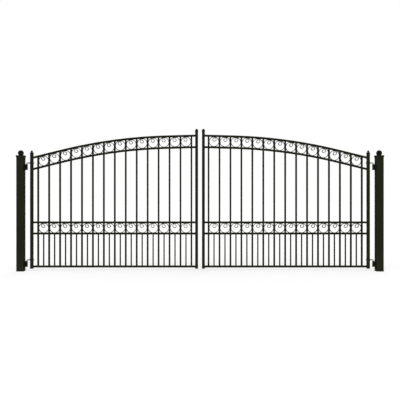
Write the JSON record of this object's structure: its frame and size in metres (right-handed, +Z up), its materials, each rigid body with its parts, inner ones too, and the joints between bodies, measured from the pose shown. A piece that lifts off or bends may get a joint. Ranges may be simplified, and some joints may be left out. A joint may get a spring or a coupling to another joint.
{
  "type": "double driveway gate",
  "caption": "Arched double-leaf swing gate of black square tube with ring-and-curl scroll bands, hung between square ball-capped posts on J-bolt hinges, to close a driveway.",
  "frame": {"origin": "centre of the left post's foot, at ground level, seen from the front", "axes": "+X along the gate to the right post, +Y away from the front, +Z up"},
  "size_m": [5.09, 0.114, 1.9776],
  "materials": {
    "black_paint": "satin near-black paint with a slight olive cast on welded steel tube",
    "zinc_steel": "dull zinc plating"
  },
  "bodies": {
    "posts": {"left_post": "black_paint", "left_post_cap": "black_paint", "left_post_ball": "black_paint", "left_upper_hinge_barrel": "black_paint", "left_lower_hinge_barrel": "black_paint", "right_post": "black_paint", "right_post_cap": "black_paint", "right_post_ball": "black_paint", "right_upper_hinge_barrel": "black_paint", "right_lower_hinge_barrel": "black_paint"},
    "left_leaf": {"left_hinge_stile": "black_paint", "left_hinge_stile_cap": "black_paint", "left_meeting_stile": "black_paint", "left_meeting_stile_point": "black_paint", "left_top_rail": "black_paint", "left_band_rail": "black_paint", "left_upper_mid_rail": "black_paint", "left_lower_mid_rail": "black_paint", "left_bottom_rail": "black_paint", "left_pickets": "black_paint", "left_short_pickets": "black_paint", "left_arch_rings": "black_paint", "left_mid_rings": "black_paint", "left_upper_j_bolt": "zinc_steel", "left_lower_j_bolt": "zinc_steel", "left_hinge_nuts": "zinc_steel"},
    "right_leaf": {"right_hinge_stile": "black_paint", "right_hinge_stile_cap": "black_paint", "right_meeting_stile": "black_paint", "right_meeting_stile_point": "black_paint", "right_top_rail": "black_paint", "right_band_rail": "black_paint", "right_upper_mid_rail": "black_paint", "right_lower_mid_rail": "black_paint", "right_bottom_rail": "black_paint", "right_pickets": "black_paint", "right_short_pickets": "black_paint", "right_arch_rings": "black_paint", "right_mid_rings": "black_paint", "right_upper_j_bolt": "zinc_steel", "right_lower_j_bolt": "zinc_steel", "right_hinge_nuts": "zinc_steel"}
  },
  "joints": [
    {"name": "left_leaf_swing", "type": "hinge", "parent": "posts", "child": "left_leaf", "pos_m": [0.082, 0, 0], "axis": [0, 0, 1], "range_deg": [-90, 90]},
    {"name": "right_leaf_swing", "type": "hinge", "parent": "posts", "child": "right_leaf", "pos_m": [4.894, 0, 0], "axis": [0, 0, -1], "range_deg": [-90, 90]}
  ]
}
